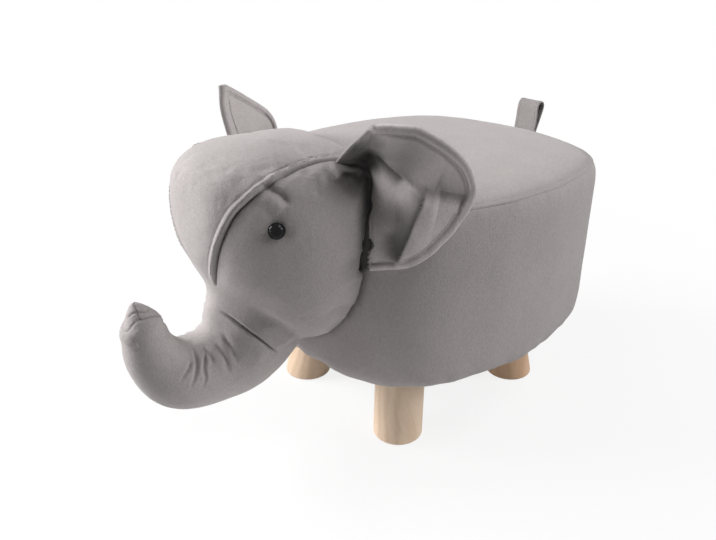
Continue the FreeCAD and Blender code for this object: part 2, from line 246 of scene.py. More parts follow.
def paintShade(piece, ids, amount):
    # keeps painted shade for a point in a seam, fold or gap, where shade falls; the cloth darkens its colour by
    # it
    kept = piece.data.attributes.get("paintedShade") or piece.data.attributes.new("paintedShade", "FLOAT", "POINT")
    values = np.zeros(len(piece.data.vertices), np.float32)
    kept.data.foreach_get("value", values)
    values[ids] = np.maximum(values[ids], np.clip(amount, 0, 1))
    kept.data.foreach_set("value", values)


def paintShadeAlong(piece, line, amount, width, lastWidth=None):
    # paints shade along a line, from one width to another
    lastWidth = lastWidth or width
    points = readPoints(piece)
    ids, across, share = nearLine(points, readNormals(piece), line, lastWidth * 3)
    away = lengths(points[ids] - line[np.rint(share * (len(line) - 1)).astype(int)])
    paintShade(piece, ids, amount * hump(away, width + (lastWidth - width) * share))


def pressAlong(piece, line, reach, profile, paintedShadeGain=200.0):
    # moves the surface in or out beside a line, and paints shade on what goes in
    points = readPoints(piece)
    normals = readNormals(piece)
    ids, across, share = nearLine(points, normals, line, reach)
    shift = profile(across, share)
    points[ids] += normals[ids] * shift[:, None]
    writePoints(piece, points)
    paintShade(piece, ids, -shift * paintedShadeGain)


def ridge(height, width, offset=0.0):
    # an even ridge along a line, or a groove where its height is negative
    return lambda across, share: height * hump(across - offset, width)


def crease(depth, width, fades, swell=0.0):
    # a groove that fades at both ends, with a soft swell on each side of it
    def profile(across, share):
        ends = easeStep(share, 0, fades[0]) * (1 - easeStep(share, 1 - fades[1], 1))
        beside = hump(np.abs(across) - 2.6 * width, 1.6 * width)
        return (swell * beside - depth * hump(across, width)) * ends
    return profile


# a stitch's rings are its place along the stitch and its share of the radius
threadLook = {"pitch": 0.0036, "length": 0.0027, "radius": 0.0003, "sides": 6,
              "rings": [(-0.5, 0.35), (-0.3, 0.95), (0.3, 0.95), (0.5, 0.35)]}


def stitchRow(name, line, normals, look=threadLook):
    # thread laid along a line as short raised stitches
    way = distances(line)
    pitch, rings, sides = look["pitch"], look["rings"], look["sides"]
    points = []
    faces = []
    for at in np.arange(pitch / 2, way[-1] - pitch / 2, pitch):
        k = min(np.searchsorted(way, at), len(line) - 2)
        middle = Vector(line[k])
        along = Vector(line[k + 1] - line[k - 1] if k else line[1] - line[0]).normalized()
        out = along.cross(Vector(normals[k])).normalized()
        up = out.cross(along).normalized()
        base = len(points)
        for place, thick in rings:
            for corner in range(sides):
                turn = math.tau * corner / sides
                spoke = (out * math.cos(turn) + up * math.sin(turn)) * look["radius"] * thick
                points.append(middle + along * place * look["length"] + spoke)
        for ring in range(base, len(points) - sides, sides):
            for corner in range(sides):
                a, b = ring + corner, ring + (corner + 1) % sides
                faces.append((a, b, b + sides, a + sides))
        faces.append(tuple(base + c for c in reversed(range(sides))))
        faces.append(tuple(len(points) - sides + c for c in range(sides)))
    mesh = bpy.data.meshes.new(name)
    mesh.from_pydata(points, [], faces)
    piece = bpy.data.objects.new(name, mesh)
    scene.collection.objects.link(piece)
    cleanMesh(piece, 0.0000001)
    shadeSmooth(piece)
    return piece


def puffUp(piece, pinned, settings):
    # blows a sewn skin up with the cloth solver; seams stay where they are pinned
    rest = readPoints(piece)
    group = piece.vertex_groups.new(name="seams")
    group.add([int(i) for i in pinned], 1.0, "REPLACE")
    selectOnly(piece)
    cloth = piece.modifiers.new("puff", "CLOTH")
    for name, value in settings["cloth"].items():
        setattr(cloth.settings, name, value)
    cloth.settings.vertex_group_mass = "seams"
    cloth.settings.effector_weights.gravity = 0
    cloth.collision_settings.use_collision = False
    cloth.point_cache.frame_start = 1
    cloth.point_cache.frame_end = settings["frames"]
    for number in range(1, settings["frames"] + 1):
        scene.frame_set(number)
    bpy.ops.object.modifier_apply(modifier=cloth.name)
    scene.frame_set(1)
    piece.vertex_groups.clear()
    moved = readPoints(piece) - rest
    far = np.maximum(lengths(moved), 1e-9)[:, None]
    writePoints(piece, rest + moved * np.minimum(1, settings["cap"] / far))


# Materials

class Wire:
    # a shader socket that takes part in Python sums
    def __init__(self, tree, socket=None):
        self.tree = tree
        self.socket = socket

    def node(self, kind, settings=None, values=None, out=0):
        made = self.tree.nodes.new(kind)
        for name, value in (settings or {}).items():
            setattr(made, name, value)
        for name, value in (values or {}).items():
            if isinstance(value, Wire):
                self.tree.links.new(value.socket, made.inputs[name])
            else:
                made.inputs[name].default_value = value
        return Wire(self.tree, made.outputs[out])

    def math(self, operation, a, b):
        return self.node("ShaderNodeMath", {"operation": operation}, {0: a, 1: b})

    __add__ = __radd__ = lambda self, other: self.math("ADD", self, other)
    __mul__ = __rmul__ = lambda self, other: self.math("MULTIPLY", self, other)
    __sub__ = lambda self, other: self.math("SUBTRACT", self, other)
    __rsub__ = lambda self, other: self.math("SUBTRACT", other, self)


def newMaterial(name):
    material = bpy.data.materials.new(name)
    material.use_nodes = True
    tree = material.node_tree
    shader = next(n for n in tree.nodes if n.type == "BSDF_PRINCIPLED")
    return material, shader, Wire(tree).node("ShaderNodeTexCoord", out="Object")


def setShader(shader, **values):
    for name, value in values.items():
        socket = shader.inputs[name.replace("_", " ")]
        if isinstance(value, Wire):
            value.tree.links.new(value.socket, socket)
        else:
            socket.default_value = value


def opaque(colour, factor=1.0):
    return (*np.multiply(colour, factor), 1)


def mixColour(factor, a, b):
    return factor.node("ShaderNodeMix", {"data_type": "RGBA"}, {"Factor": factor, 6: a, 7: b}, out=2)


def noiseWire(place, scale, detail, rough):
    return place.node("ShaderNodeTexNoise", None,
                      {"Vector": place, "Scale": scale, "Detail": detail, "Roughness": rough})


def cellWire(place, scale):
    return place.node("ShaderNodeTexVoronoi", {"feature": "F1"}, {"Vector": place, "Scale": scale})


def bumpWire(height, strength, distance, **under):
    return height.node("ShaderNodeBump", None,
                       {"Strength": strength, "Distance": distance, "Height": height, **under})


def apartWire(place, spot):
    return place.node("ShaderNodeVectorMath", {"operation": "DISTANCE"}, {0: place, 1: spot}, out="Value")


def softRange(value, low, high):
    return value.node("ShaderNodeMapRange", {"interpolation_type": "SMOOTHSTEP"},
                      {"Value": value, "From Min": low, "From Max": high})


# scales of the cloth's patterns are waves to the metre
clothLook = {"shade": (0.39, 0.36, 0.357), "light": (0.465, 0.431, 0.428), "paintedShadeTone": 0.1, "rough": 0.88,
             "sheen": 0.25, "sheenRough": 0.45, "sheenTint": (0.9, 0.88, 0.87, 1), "nap": 22.0, "flecks": 330.0,
             "threads": 820.0, "grain": 640.0, "grainDepth": 0.0006, "crumple": 95.0, "crumpleDepth": 0.0008}


def clothMaterial(name, look, paintedLightScale=1.0):
    # the last argument scales the cloth's colour: above 1 it paints light, below 1 it paints shade
    material, shader, place = newMaterial(name)
    grain = noiseWire(place, look["grain"], 2.0, 0.6)
    nap = noiseWire(place, look["nap"], 3.0, 0.55)
    flecks = noiseWire(place, look["flecks"], 2.0, 0.6)
    crumple = noiseWire(place, look["crumple"], 2.0, 0.5)
    threads = cellWire(place, look["threads"])
    mottle = softRange(nap * 0.2 + flecks * 0.35 + grain * 0.45, 0.34, 0.66)
    colour = mixColour(mottle, opaque(look["shade"], paintedLightScale), opaque(look["light"], paintedLightScale))
    # the painted shade attribute darkens the colour towards a near black in seams, folds and gaps
    paintedShade = place.node("ShaderNodeAttribute", {"attribute_name": "paintedShade"}, out="Fac")
    colour = mixColour(paintedShade * 0.95, colour, opaque(look["shade"], paintedLightScale * look["paintedShadeTone"]))
    fine = bumpWire(grain * 0.65 + threads * 0.35, 0.8, look["grainDepth"])
    bump = bumpWire(crumple, 0.25, look["crumpleDepth"], Normal=fine)
    setShader(shader, Base_Color=colour, Roughness=flecks * 0.1 + (look["rough"] - 0.05), Normal=bump,
              Sheen_Weight=look["sheen"], Sheen_Roughness=look["sheenRough"], Sheen_Tint=look["sheenTint"],
              Specular_IOR_Level=0.05)
    return material


woodLook = {"pale": (0.92, 0.715, 0.54), "band": (0.77, 0.575, 0.41), "dark": (0.3, 0.17, 0.1),
            "stretch": (1.0, 1.0, 0.07), "rings": 34.0, "warp": 24.0, "fibre": 640.0, "knot": (0.001, 0.0075)}


def woodMaterial(name, look, shade, lean, turn, knot):
    material, shader, place = newMaterial(name)
    local = place.node("ShaderNodeMapping", None, {"Vector": place, "Rotation": lean, "Location": turn})
    stretched = place.node("ShaderNodeMapping", None, {"Vector": local, "Scale": look["stretch"]})
    warp = noiseWire(stretched, look["warp"], 3.0, 0.5)
    rings = place.node("ShaderNodeTexWave", {"wave_type": "BANDS", "bands_direction": "X"},
                       {"Vector": stretched, "Scale": look["rings"], "Distortion": 7.0, "Detail": 3.0,
                        "Detail Scale": 1.4})
    fibre = noiseWire(stretched, look["fibre"], 3.0, 0.65)
    spot = apartWire(local, knot) + (warp - 0.5) * 0.006
    knotMask = 1 - softRange(spot, *look["knot"])
    figure = softRange(rings * 0.55 + warp * 0.45, 0.25, 0.9)
    tone = figure * 0.6 + softRange(fibre, 0.45, 0.7) * 0.35
    # shade is painted shade, scaling the wood's colours
    colour = mixColour(tone, opaque(look["pale"], shade), opaque(look["band"], shade))
    colour = mixColour(knotMask * 0.75, colour, opaque(look["dark"]))
    bump = bumpWire(fibre * 0.7 + rings * 0.3, 0.3, 0.0003)
    setShader(shader, Base_Color=colour, Roughness=fibre * 0.2 + 0.42, Normal=bump, Specular_IOR_Level=0.35)
    return material


def scuffedMaterial(name, colour, other, scale, detail, rough, **shine):
    # one smooth finish with faint scuffs; rough is its least and how much the scuffs add
    material, shader, place = newMaterial(name)
    scuff = noiseWire(place, scale, detail, 0.6)
    tint = mixColour(scuff, opaque(colour), opaque(colour, other))
    setShader(shader, Base_Color=tint, Roughness=scuff * rough[1] + rough[0], **shine)
    return material


def boardMaterial(name, pale, dark):
    material, shader, place = newMaterial(name)
    stretched = place.node("ShaderNodeMapping", None, {"Vector": place, "Scale": (1.0, 0.08, 1.0)})
    grain = noiseWire(stretched, 150.0, 4.0, 0.6)
    colour = mixColour(softRange(grain, 0.35, 0.7), opaque(pale), opaque(dark))
    bump = bumpWire(grain, 0.3, 0.0003)
    setShader(shader, Base_Color=colour, Roughness=grain * 0.2 + 0.5, Normal=bump)
    return material


def spongeMaterial(name, pale, dark, scale):
    material, shader, place = newMaterial(name)
    cells = cellWire(place, scale)
    colour = mixColour(softRange(cells, 0.0, 0.8), opaque(dark), opaque(pale))
    bump = bumpWire(cells, 0.5, 0.0008)
    setShader(shader, Base_Color=colour, Roughness=cells * 0.1 + 0.85, Normal=bump)
    return material


def wear(piece, material):
    piece.data.materials.clear()
    piece.data.materials.append(material)


greyCloth = clothMaterial("greyNapCloth", clothLook)
# a darker copy of the cloth: painted shade for the tail strap
paintedShadeStrapCloth = clothMaterial("greyStrapClothPaintedShade", clothLook, 0.78)
paintedLightEarCloth = clothMaterial("greyEarCloth", clothLook, 1.35)  # a lighter copy of the cloth: painted light for the ear linings, which lie in shade
seamThread = clothMaterial("greyThread", dict(clothLook, grain=2600.0, sheen=0.1))
blackCloth = clothMaterial("blackLiningCloth", dict(clothLook, shade=(0.012, 0.012, 0.012),
                                                    light=(0.025, 0.025, 0.026), sheen=0.1))
print("materials ready")


# Camera, floor and light

viewSettings = {"eye": (0.5216, -0.45708, 0.47752), "aim": (-0.01138, -0.00194, 0.15), "lens": 35.9}


def lookFrom(holder, eye, aim):
    scene.collection.objects.link(holder)
    holder.location = eye
    holder.rotation_mode = "QUATERNION"
    holder.rotation_quaternion = (Vector(aim) - Vector(eye)).to_track_quat("-Z", "Y")


def setCamera(look):
    camera = bpy.data.cameras.new("photoCamera")
    camera.sensor_width = 36.0
    camera.sensor_fit = "HORIZONTAL"
    camera.lens = look["lens"]
    camera.clip_start = 0.01
    camera.clip_end = 50.0
    scene.camera = bpy.data.objects.new("photoCamera", camera)
    lookFrom(scene.camera, look["eye"], look["aim"])


lightSettings = {"lamps": {"top": {"place": (0.8, 0.55, 1.5), "size": 0.7, "power": 10.0},
                           "left": {"place": (-1.03, -1.12, 0.95), "size": 0.9, "power": 44.0},
                           "right": {"place": (1.3, 1.1, 0.9), "size": 0.6, "power": 12.5},
                           "low": {"place": (-0.45, -1.25, 0.13), "size": 0.4, "power": 1.8}},
                 "aim": (0, 0, 0.15), "world": 0.06, "bounce": (0.15, -0.12, 0.0), "floorTone": (0.95, 0.36),
                 "floorReach": (0.1, 0.4), "floorSeen": 0.95, "floorShow": 0.16, "floorFade": (0.3, 0.9)}


def addLamp(name, aim, place, size, power):
    lamp = bpy.data.lights.new(name, "AREA")
    lamp.size = size
    lamp.energy = power
    lookFrom(bpy.data.objects.new(name, lamp), place, aim)


def seenRays(wire):
    # rays that show the background: straight, mirrored or through glass
    outs = wire.node("ShaderNodeLightPath").socket.node.outputs
    straight, mirrored, through = [Wire(wire.tree, outs["Is %s Ray" % kind])
                                   for kind in ("Camera", "Glossy", "Transmission")]
    return wire.math("MAXIMUM", wire.math("MAXIMUM", straight, mirrored), through)


def setWorld(look):
    world = bpy.data.worlds.new("studioWorld")
    scene.world = world
    world.use_nodes = True
    back = next(n for n in world.node_tree.nodes if n.type == "BACKGROUND")
    strength = seenRays(Wire(world.node_tree)) * (1 - look["world"]) + look["world"]
    setShader(back, Color=(1, 1, 1, 1), Strength=strength)


def makeFloor(look):
    bpy.ops.object.select_all(action="DESELECT")
    bpy.ops.mesh.primitive_circle_add(vertices=96, radius=6, fill_type="NGON", location=(0, 0, -0.0004))
    floor = bpy.context.object
    floor.name = "studioFloor"
    material, shader, place = newMaterial("paleFloor")
    near, far = [opaque((tone,) * 3) for tone in look["floorTone"]]
    apart = softRange(apartWire(place, look["bounce"]), *look["floorReach"])
    lit = mixColour(apart, near, far)  # the floor lights the legs more than the head
    tone = mixColour(seenRays(place), lit, opaque((look["floorSeen"],) * 3))
    setShader(shader, Base_Color=tone, Roughness=0.9, Specular_IOR_Level=0.0)
    glow = place.node("ShaderNodeEmission", None, {"Color": (1, 1, 1, 1), "Strength": 1.0})
    away = place.node("ShaderNodeVectorMath", {"operation": "LENGTH"}, {0: place}, out="Value")
    shown = look["floorShow"] * (1 - softRange(away, *look["floorFade"]))
    mixed = place.node("ShaderNodeMixShader", None,  # the floor fades into the backdrop
                       {0: seenRays(place) * (1 - shown), 1: Wire(place.tree, shader.outputs[0]), 2: glow})
    output = next(n for n in material.node_tree.nodes if n.type == "OUTPUT_MATERIAL")
    setShader(output, Surface=mixed)
    floor.data.materials.append(material)


setCamera(viewSettings)
scene.view_settings.view_transform = "Standard"
for lampName, lampLook in lightSettings["lamps"].items():
    addLamp(lampName + "Lamp", lightSettings["aim"], **lampLook)
setWorld(lightSettings)
makeFloor(lightSettings)
print("studio ready")


# Padded body

# outlines are heights and scales of the seat's oval; slack is a wave's size and lift, then the height
# and width of the zone that it is in and its squeeze along the height
bodySettings = {
    "middle": 0.0782, "turns": 720, "roundness": 17, "around": 520, "hiddenRows": 10,
    "side": {"rows": 112, "seed": 3, "still": (0.1, 0.14), "shown": [
        (0.0886, 0.9), (0.0884, 0.94), (0.0886, 0.972), (0.0898, 0.99), (0.0935, 1.005), (0.102, 1.019),
        (0.12, 1.026), (0.15, 1.028), (0.19, 1.028), (0.225, 1.03), (0.243, 1.03), (0.253, 1.0255),
        (0.259, 1.0175), (0.2618, 1.0105), (0.2632, 1.0045), (0.2637, 0.998), (0.2634, 0.99)],
        "hidden": [(0.255, 0.955), (0.235, 0.93), (0.17, 0.9), (0.11, 0.87), (0.0905, 0.87)]},
    "seat": {"rows": 84, "seed": 21, "shown": [
        (0.2776, 0.0), (0.2776, 0.15), (0.2772, 0.4), (0.276, 0.62), (0.2738, 0.8), (0.271, 0.91),
        (0.2682, 0.968), (0.2664, 0.99), (0.2652, 1.0), (0.2642, 1.0058), (0.2635, 1.0062), (0.2629, 0.999),
        (0.2622, 0.985)],
        "hidden": [(0.256, 0.95), (0.254, 0.6), (0.254, 0.0)]},
    "slack": [(0.075, 0.0009), (0.028, 0.0003), (0.011, 0.00055, 0.2585, 0.008, 0.35),
              (0.034, 0.003, 0.0905, 0.014, 0.4), (0.015, 0.0011, 0.0905, 0.014, 0.4)],
    "rimSeam": {"scale": 0.972, "height": 0.2679, "reach": 0.005, "depth": 0.0005, "width": 0.0012}}


def planRadius(form):
    # the seat's oval, as its radius at even turns round the middle
    points = readPoints(nodes["seat_cover"])
    rim = points[points[:, 2] < points[:, 2].min() + 0.0005]
    y = rim[:, 1] - form["middle"]
    outer = {}
    for turn, reach in zip(np.arctan2(y, rim[:, 0]), np.hypot(rim[:, 0], y)):
        key = round(float(turn), 2)
        if reach > outer.get(key, (0, 0))[1]:
            outer[key] = (turn, reach)
    kept = np.array(sorted(outer.values()))
    even = np.linspace(-math.pi, math.pi, form["turns"], endpoint=False)
    waves = np.fft.rfft(np.interp(even, kept[:, 0], kept[:, 1], period=math.tau))
    waves[form["roundness"]:] = 0
    radius = np.fft.irfft(waves, form["turns"])
    return np.r_[radius, radius[0]]


seatRadius = planRadius(bodySettings)
seatTurns = np.linspace(-math.pi, math.pi, len(seatRadius))


def ovalPoints(turn, scale, height):
    # points of the seat's oval, scaled about its middle
    reach = np.interp(turn, seatTurns, seatRadius) * scale
    return columns(reach * np.cos(turn), bodySettings["middle"] + reach * np.sin(turn), height + 0 * turn)


def evenRows(line, count):
    return line[np.linspace(0, len(line) - 1, count).round().astype(int)]


def ovalPiece(name, form, look):
    # a closed form from its seen outline and the hidden one that leads back
    seen = smoothLine([(s, z) for z, s in look["shown"]], 0.0003)
    inside = smoothLine([(s, z) for z, s in look["shown"][-1:] + look["hidden"]], 0.002)
    path = np.vstack([evenRows(seen, look["rows"]), evenRows(inside, form["hiddenRows"] + 1)[1:]])
    if path[0, 0] > 0.01:  # a ring closes on its own start
        path = np.vstack([path, path[:1]])

    def place(u, v):
        return ovalPoints((u % 1.0) * math.tau - math.pi, *rowsAt(path, v))

    return gridPiece(name, form["around"], len(path) - 1, place)


def roughenBody(piece, form, look):
    # slack in the cloth: broad waves, pulls under the rim seam and gathers at the base
    points = readPoints(piece)
    shift = np.zeros(len(points))
    for number, (size, lift, *zone) in enumerate(form["slack"]):
        height, width, squeeze = zone or (0, math.inf, 1)
        wave = cloudNoise(points * (1, 1, squeeze), size, look["seed"] + number)
        shift += wave * lift * hump(points[:, 2] - height, width)
    if "still" in look:
        shift *= easeStep(np.hypot(points[:, 0], points[:, 1] - form["middle"]), *look["still"])
    writePoints(piece, points + readNormals(piece) * shift[:, None])


def makeBody(form):
    side = ovalPiece("sideCover", form, form["side"])
    roughenBody(side, form, form["side"])
    seat = ovalPiece("seatCover", form, form["seat"])
    roughenBody(seat, form, form["seat"])
    for piece, covered in ((side, ("side_cover", "side_foam")), (seat, ("seat_cover", "seat_foam"))):
        wear(piece, greyCloth)
        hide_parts(*covered)
        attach(piece, "stool")
    seam = form["rimSeam"]
    ring = ovalPoints(seatTurns[:-1:4], seam["scale"], seam["height"])
    line = layOn(surfaceOf(seat), smoothLine(ring, seam["width"], closed=True))[0]
    pressAlong(seat, line, seam["reach"], ridge(-seam["depth"], seam["width"]))
    row = stitchRow("rimStitches", *layOn(surfaceOf(seat), line))
    wear(row, greyCloth)
    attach(row, "stool")
    return side, seat


sideCover, seatCover = makeBody(bodySettings)
print("body ready:", len(sideCover.data.polygons), len(seatCover.data.polygons))


# Head and trunk

earAcross, earFront = (0.6606, 0.7507, 0), (0.7507, -0.6606, 0)  # along the left ear's leaf and out of it
headSettings = {
    "trunk": metres([
        (-121.5, 178, 56), (-156.5, 127, 43.2), (-185.5, 115.5, 36.2), (-222.5, 119, 33), (-243.5, 142, 26.2),
        (-251.5, 168, 19), (-253.5, 182, 15), (-255.5, 192, 11), (-257.5, 198.5, 7)]),  # y, z and radius
    "trunkGrid": (64, 120),
    "tip": metres([
        (176, -250.5, 18), (180, -250.8, 16.8), (187.5, -252, 13.2), (193.3, -253.7, 9.3), (198, -255.4, 5.4),
        (200.8, -256.7, 2.4), (201.8, -257.1, 0)]),  # z, y and radius
    "tipFront": -0.225,
    "tipSeams": [
        [(0, -269, 179), (4.9, -268.1, 180.6), (7, -266, 183.9), (8.6, -263.6, 187.1), (9.7, -260.3, 189.4),
         (11, -256.1, 189.6), (10.7, -251.2, 189.6), (9.3, -245.6, 187.7), (6.1, -239.7, 183.2),
         (0, -235, 179)],
        [(0.5, -257.3, 201.6), (2.1, -257.5, 201.2), (4.4, -257.8, 198.5), (6, -257.9, 196.2),
         (9.8, -258.2, 190.7), (10.9, -257.7, 189.3)],
        [(0, -265, 190), (3.7, -263.3, 192.9), (5.4, -260.7, 194.8), (6.6, -258, 195.3), (7.6, -253.1, 194),
         (6.4, -248.6, 192.3)]],
    "tipCrease": (0.0005, 0.0008, (0.02, 0.02), 0.0002), "tipSwell": (0.0008, 0.0045, -0.0065),
    "seam": metres([
        (62, -70, 305), (58.8, -86.5, 307), (57.2, -98.4, 307.6), (57.2, -109, 307.4), (59.8, -125.3, 307.3),
        (62.8, -137.5, 306.6), (64.5, -148.6, 304.2), (63.2, -165, 296.3), (59.8, -176, 288),
        (53.6, -185.8, 277.1), (46.4, -192, 262), (37.3, -194.8, 244), (25, -193.2, 221), (15.5, -190, 206),
        (9.5, -188.5, 193)]),
    "seamBand": {"start": (0.0, 0.03), "end": (0.86, 1.0), "width": 0.0076, "height": 0.0017,
                 "rise": (0.25, 0.48), "groove": (0.003, 0.001, -0.0003), "grooveEnd": (0.94, 1.0),
                 "stitch": (0.0007, 0.001, 0.0067), "pull": (0.0011, 0.006)},
    "dart": metres([
        (8.1, -185.3, 174.4), (14.9, -184.3, 172.7), (21.9, -182.5, 170.4), (32.7, -177.4, 164),
        (40.4, -170.4, 155.6), (44.5, -163.1, 147.4), (46.1, -154, 136.6), (43.9, -143.2, 124.3)]),
    "dartCrease": (0.0032, 0.0012, (0.25, 0.3), 0.0004),
    # folds: depth, width, the swell beside it and the points it runs through
    "folds": [
        (2.8, 3.4, 1.4, [(59, -165, 301.5), (64.9, -160.8, 297.8), (69.2, -157.2, 294.8),
            (73.8, -153, 290.1), (80, -145.5, 281)]),
        (2, 1.2, 0.8, [(11.2, -214.3, 148.5), (18.6, -216.7, 145.3), (23.9, -218.4, 140.9),
            (27.5, -221, 136.5), (30.5, -224.5, 131.5), (32.3, -228.7, 125.5), (32.4, -231.2, 118.8)]),
        (1.9, 1.2, 0.7, [(11.6, -204.7, 148.8), (18.6, -206, 145.4), (24, -209.5, 141.3),
            (28.1, -213.5, 136.4), (31, -215.5, 131.7), (33.3, -216.5, 125.6), (34.1, -219.9, 119.7),
            (33.9, -223.1, 114.9)]),
        (1.4, 1.2, 0.6, [(18.6, -205.2, 145.4), (24, -205.5, 141.3), (27.2, -205, 138), (30.2, -206, 133)]),
        (1.5, 1.2, 0.6, [(22.5, -221.5, 144), (27.3, -227.5, 139.6), (29, -231.5, 136.5),
            (29.8, -236.8, 132.6), (29.7, -239.7, 129.5)]),
        (1.5, 2.2, 0.8, [(15, -195, 147.8), (23.5, -194.8, 142.6), (30.2, -193.6, 135.6),
            (33.8, -193.6, 128.6), (36.2, -193.1, 118.8)]),
        (1.4, 2.4, 0.8, [(14, -185.7, 151.5), (21.9, -185.8, 147.1), (28.8, -185.6, 140.5),
            (34.1, -184.9, 132), (36.5, -183.9, 125.7)])],
    "foldFades": (0.3, 0.4),
    "flapShade": metres([
        (64.1, -86.5, 305.5), (69.7, -84.5, 303.8), (74.9, -82.3, 301.9), (79.7, -79.8, 299.9),
        (84.1, -77.9, 297.1)]),
    "flapWidth": (0.006, 0.017),
    "cheekShade": metres([
        (78.5, -92.5, 298.8), (80, -90, 297.8), (82.5, -86.5, 295.9), (85.3, -82.1, 293.8)]),
    "cheekWidth": (0.005, 0.01), "shadeDepth": 0.85,
    "rootShade": {"soft": (-0.013, 0.0005), "low": (0.2, 0.212), "high": (0.296, 0.308), "inner": 0.074,
                  "turn": (0.2, 0.5)},
    "earRoot": {"left": [(95.9, -81.8, 210), (94.4, -80.5, 230), (90.6, -77.2, 255), (84.6, -71.9, 280)],
                "right": [(-97.6, -79.9, 210), (-96.1, -78.6, 230), (-92.3, -75.3, 255), (-87, -75, 276)]},
    "earRootCrease": (0.0095, 0.005, (0.05, 0.45)),
    "farTrim": {"seam": 14, "dart": 10, "out": 1.06},
    "voxel": 0.0044, "smoothing": 6, "pinReach": 0.006, "quickSwell": 0.0014,
    "slack": [(0.045, 41, 0.0005), (0.016, 43, 0.00015)],
    "bend": {"at": (0.0, -0.188, 0.176), "squeeze": (0.8, 1, 1), "reach": 0.03, "rounds": 90,
             "fill": 0.0055, "fillReach": 0.018},
    "underEye": {"at": (0.052, -0.185, 0.244), "reach": 0.022, "rounds": 50},
    "eyePull": (0.0022, 0.012), "contactShade": (0.55, 0.005),
    "puff": {"frames": 20, "cap": 0.0045,
             "cloth": {"quality": 4, "mass": 0.2, "tension_stiffness": 12.0, "compression_stiffness": 12.0,
                       "bending_stiffness": 0.3, "use_pressure": True, "uniform_pressure_force": 4.0,
                       "shrink_min": -0.02}}}
bothSides = ((1, np.array, "left"), (-1, mirrorX, "right"))


def copyNode(name, node):
    piece = nodes[node].copy()
    piece.data = nodes[node].data.copy()
    piece.parent = None
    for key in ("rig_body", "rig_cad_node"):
        del piece[key]
    scene.collection.objects.link(piece)
    piece.name = name
    piece.data.name = name
    cleanMesh(piece)
    return piece


def trunkTube(form):
    spine = smoothLine(form["trunk"], 0.0008)
    along = np.gradient(spine[:, :2], axis=0)
    path = np.c_[spine, along / lengths(along)[:, None]]

    def place(u, v):
        y, z, radius, ty, tz = rowsAt(path, v)
        radius = np.where((v < 1e-6) | (v > 1 - 1e-6), 0, radius)
        turn = u * math.tau
        return columns(radius * np.cos(turn), y - tz * radius * np.sin(turn), z + ty * radius * np.sin(turn))

    return gridPiece("trunkTube", *form["trunkGrid"], place)


def seamBand(look, side):
    # a seam with a raised, topstitched band on the forehead's side of it
    def profile(across, share):
        d = -across * side
        start = easeStep(share, *look["start"])
        fade = start * (1 - easeStep(share, *look["end"]))
        band = np.sin(math.pi * np.clip(d / look["width"], 0, 1)) ** 0.8 * look["height"]
        band *= 0.2 + 0.8 * easeStep(share, *look["rise"])
        depth, width, offset = look["groove"]
        groove = depth * hump(d - offset, width) * (1 - easeStep(share, *look["grooveEnd"])) * start
        depth, width, offset = look["stitch"]
        stitch = depth * hump(d - offset, width)
        depth, width = look["pull"]
        pull = depth * np.exp(np.minimum(d, 0) / width) * (d < 0)
        return (band - stitch - pull) * fade - groove
    return profile


def pointTip(head, rows, front):
    # the trunk's closed end narrows to a point
    points = readPoints(head)
    low, high = rows[0, 0], rows[-1, 0]
    inTip = (points[:, 2] > low) & (points[:, 1] < front)
    x, y, old = points[inTip].T
    z = low + (old - low) * (high - low) / (old.max() - low)
    middle = np.interp(z, rows[:, 0], rows[:, 1])
    radius = np.interp(z, rows[:, 0], rows[:, 2])
    y = y - middle
    share = easeStep(z, low, rows[1, 0] + 0.004)
    scale = 1 + (radius / (np.hypot(x, y) + 1e-9) - 1) * share
    points[inTip] = columns(x * scale, middle + y * scale, old + (z - old) * share)
    writePoints(head, points)


def headLines(form, side):
    # the seam and dart of one side; the far ones lie further out and end sooner
    seam = smoothLine(form["seam"])
    dart = smoothLine(form["dart"])
    if side > 0:
        return seam, dart
    trim = form["farTrim"]
    return mirrorX(seam[:-trim["seam"]]) * (trim["out"], 1, 1), mirrorX(dart[trim["dart"]:])


def smoothZone(piece, offsets, zone):
    group = piece.vertex_groups.new(name="zone")
    for number, near in enumerate(hump(lengths(offsets), zone["reach"])):
        group.add([number], float(near), "REPLACE")
    applyModifier(piece, "SMOOTH", factor=0.5, iterations=zone["rounds"], vertex_group="zone")
    piece.vertex_groups.clear()


def formHead(form):
    # head and trunk in one skin, swollen between its seams
    head = copyNode("headSkin", "head_stuffing")
    selectOnly(head, trunkTube(form))
    bpy.ops.object.join()
    head.data.remesh_voxel_size = form["voxel"]
    head.data.remesh_voxel_adaptivity = 0
    selectOnly(head)
    bpy.ops.object.voxel_remesh()
    applyModifier(head, "SMOOTH", factor=0.5, iterations=form["smoothing"])
    points = readPoints(head)
    normals = readNormals(head)
    pinned = set()
    for line in (*headLines(form, 1), *headLines(form, -1)):
        pinned.update(nearLine(points, normals, line, form["pinReach"])[0])
    for surface in (surfaceOf(sideCover), surfaceOf(seatCover)):
        pinned.update(number for number, p in enumerate(points)
                      if surface.find_nearest(Vector(p), form["pinReach"])[0])
    puffUp(head, pinned, form["puff"])
    # the forehead runs into the trunk without a step, and the face has no fold below the eye
    bend, eye = form["bend"], form["underEye"]
    smoothZone(head, (readPoints(head) - bend["at"]) * bend["squeeze"], bend)
    smoothZone(head, np.abs(readPoints(head)) - np.abs(eye["at"]), eye)
    points = readPoints(head)
    points[:, 1] -= bend["fill"] * hump(lengths(points - bend["at"]), bend["fillReach"])
    writePoints(head, points)
    applyModifier(head, "SUBSURF", levels=2, render_levels=2)
    points = readPoints(head)
    slack = ripples(points, *form["slack"])
    writePoints(head, points + readNormals(head) * slack[:, None])
    pointTip(head, form["tip"], form["tipFront"])
    return head


